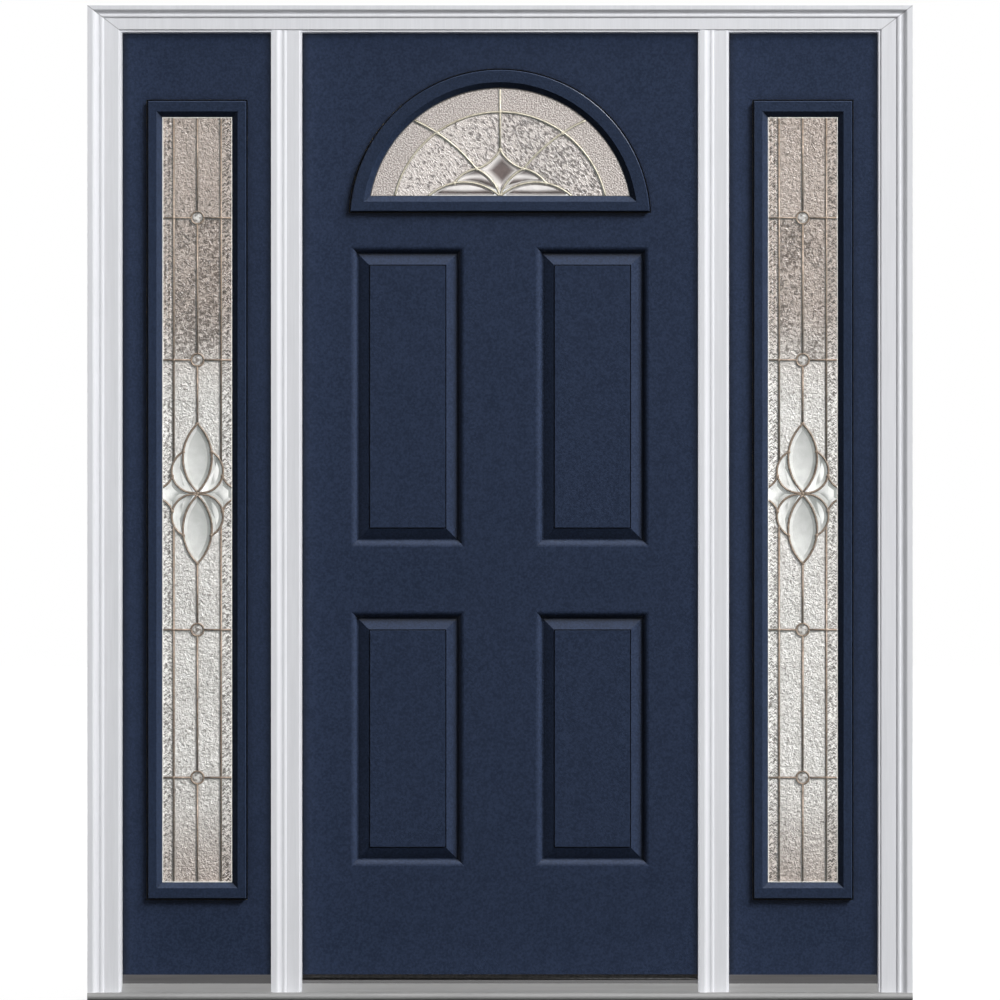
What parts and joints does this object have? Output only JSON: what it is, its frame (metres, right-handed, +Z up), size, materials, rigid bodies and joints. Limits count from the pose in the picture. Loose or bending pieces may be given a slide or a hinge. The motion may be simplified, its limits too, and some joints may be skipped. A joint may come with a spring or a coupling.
{
  "type": "front door with sidelights",
  "caption": "Steel entrance door with a half-round leaded fanlight over raised panels, fixed leaded sidelights each side, moulded white frame and aluminium sill.",
  "frame": {"origin": "underside of the sill, at the middle of its length, in the plane of the frame's outer edge", "axes": "+X to the right as seen from outside, +Y into the building, +Z up"},
  "size_m": [1.751, 0.1718, 2.112],
  "materials": {
    "navy_steel": "satin navy paint with a fine pebbled grain",
    "navy_light_frame": "satin navy paint on moulded frame",
    "white_frame": "white paint on wood",
    "white_casing": "white paint on moulded casing",
    "mill_aluminium": "mill finish",
    "threshold_grey": "darker grey finish",
    "sill_board": "composite board",
    "seal": "soft foam strip in a skin",
    "sweep_rubber": "flexible fins",
    "hinge_steel": "satin",
    "foam_core": "insulating foam",
    "stile_wood": "bare softwood",
    "clear_glass": "clear",
    "textured_glass": "obscure textured",
    "bevel_glass": "clear bevelled",
    "came": "dull patina"
  },
  "bodies": {
    "frame": {"sill_base": "sill_board", "sill_deck": "mill_aluminium", "threshold_cap": "threshold_grey", "sidelight_sill_strips": "threshold_grey", "left_jamb": "white_frame", "right_jamb": "white_frame", "head_jamb": "white_frame", "left_mullion_post": "white_frame", "right_mullion_post": "white_frame", "left_casing": "white_casing", "right_casing": "white_casing", "head_casing": "white_casing", "left_mullion_cover": "white_casing", "right_mullion_cover": "white_casing", "weatherstrip": "seal", "hinge_frame_leaves": "hinge_steel", "hinge_pins": "hinge_steel", "left_sidelight_outer_skin": "navy_steel", "left_sidelight_inner_skin": "navy_steel", "left_sidelight_core": "foam_core", "left_sidelight_outer_frame": "navy_light_frame", "left_sidelight_inner_frame": "navy_light_frame", "left_sidelight_panes": "clear_glass", "left_sidelight_came": "came", "left_sidelight_textured_glass": "textured_glass", "left_sidelight_bevels": "bevel_glass", "right_sidelight_outer_skin": "navy_steel", "right_sidelight_inner_skin": "navy_steel", "right_sidelight_core": "foam_core", "right_sidelight_outer_frame": "navy_light_frame", "right_sidelight_inner_frame": "navy_light_frame", "right_sidelight_panes": "clear_glass", "right_sidelight_came": "came", "right_sidelight_textured_glass": "textured_glass", "right_sidelight_bevels": "bevel_glass"},
    "door": {"door_outer_skin": "navy_steel", "door_inner_skin": "navy_steel", "door_core_lower": "foam_core", "door_core_upper": "foam_core", "door_hinge_stile": "stile_wood", "door_latch_stile": "stile_wood", "door_rails": "stile_wood", "door_sweep": "sweep_rubber", "hinge_door_leaves": "hinge_steel", "fanlight_outer_frame": "navy_light_frame", "fanlight_inner_frame": "navy_light_frame", "fanlight_panes": "clear_glass", "fanlight_came": "came", "fanlight_textured_glass": "textured_glass", "fanlight_bevels": "bevel_glass"}
  },
  "joints": [
    {"name": "door_swing", "type": "hinge", "parent": "frame", "child": "door", "pos_m": [-0.43125, 0.123, 1.04], "axis": [0, 0, 1], "range_deg": [0, 170]}
  ]
}
